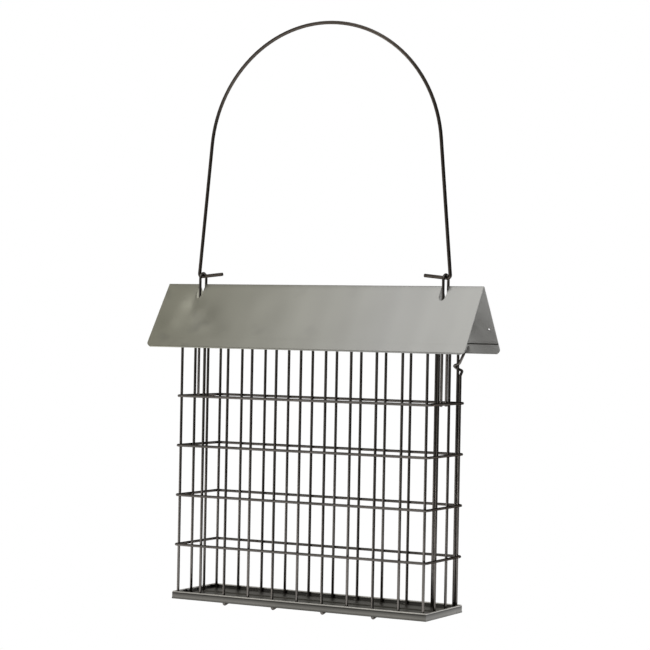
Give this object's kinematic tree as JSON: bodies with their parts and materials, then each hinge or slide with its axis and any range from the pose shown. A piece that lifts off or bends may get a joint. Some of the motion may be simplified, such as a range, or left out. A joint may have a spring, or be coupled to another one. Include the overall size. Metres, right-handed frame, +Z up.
{
  "type": "hanging bird feeder",
  "caption": "Hanging wire-cage suet feeder with a folded sheet roof that lifts on two loops, a shallow sheet tray and a bent wire handle that swings.",
  "frame": {"origin": "the hang point: the inside of the handle's bow at its top", "axes": "+X along the ridge to the right, -Y the front, +Z up; the handle's pins turn about a line along X"},
  "size_m": [0.325, 0.0778, 0.5341],
  "materials": {
    "cage_wire": "dark gunmetal plating, satin",
    "handle_wire": "dark gunmetal plating, satin",
    "roof_sheet": "warm pewter grey, satin with faint brushed bands",
    "tray_sheet": "darker pewter grey, satin"
  },
  "bodies": {
    "handle": {"handle": "handle_wire"},
    "cage": {"tray": "tray_sheet", "hairpin_left": "cage_wire", "hairpin_right": "cage_wire", "ring_low": "cage_wire", "ring_lower_middle": "cage_wire", "ring_upper_middle": "cage_wire", "ring_high": "cage_wire", "ring_top": "cage_wire", "front_wire_01": "cage_wire", "front_wire_02": "cage_wire", "front_wire_03": "cage_wire", "front_wire_04": "cage_wire", "front_wire_05": "cage_wire", "front_wire_06": "cage_wire", "front_wire_07": "cage_wire", "front_wire_08": "cage_wire", "front_wire_09": "cage_wire", "front_wire_10": "cage_wire", "front_wire_11": "cage_wire", "back_wire_01": "cage_wire", "back_wire_02": "cage_wire", "back_wire_03": "cage_wire", "back_wire_04": "cage_wire", "back_wire_05": "cage_wire", "back_wire_06": "cage_wire", "back_wire_07": "cage_wire", "back_wire_08": "cage_wire", "back_wire_09": "cage_wire", "back_wire_10": "cage_wire", "back_wire_11": "cage_wire", "left_wire_1": "cage_wire", "left_wire_2": "cage_wire", "right_wire_1": "cage_wire", "right_wire_2": "cage_wire", "seam_wire": "cage_wire"},
    "roof": {"roof": "roof_sheet"}
  },
  "joints": [
    {"name": "handle_swing", "type": "hinge", "parent": "handle", "child": "cage", "pos_m": [0, 0, -0.2297], "axis": [1, 0, 0], "range_deg": [-140, 140]},
    {"name": "roof_lift", "type": "slide", "parent": "cage", "child": "roof", "axis": [0, 0, 1], "range_m": [0, 0.003]}
  ]
}
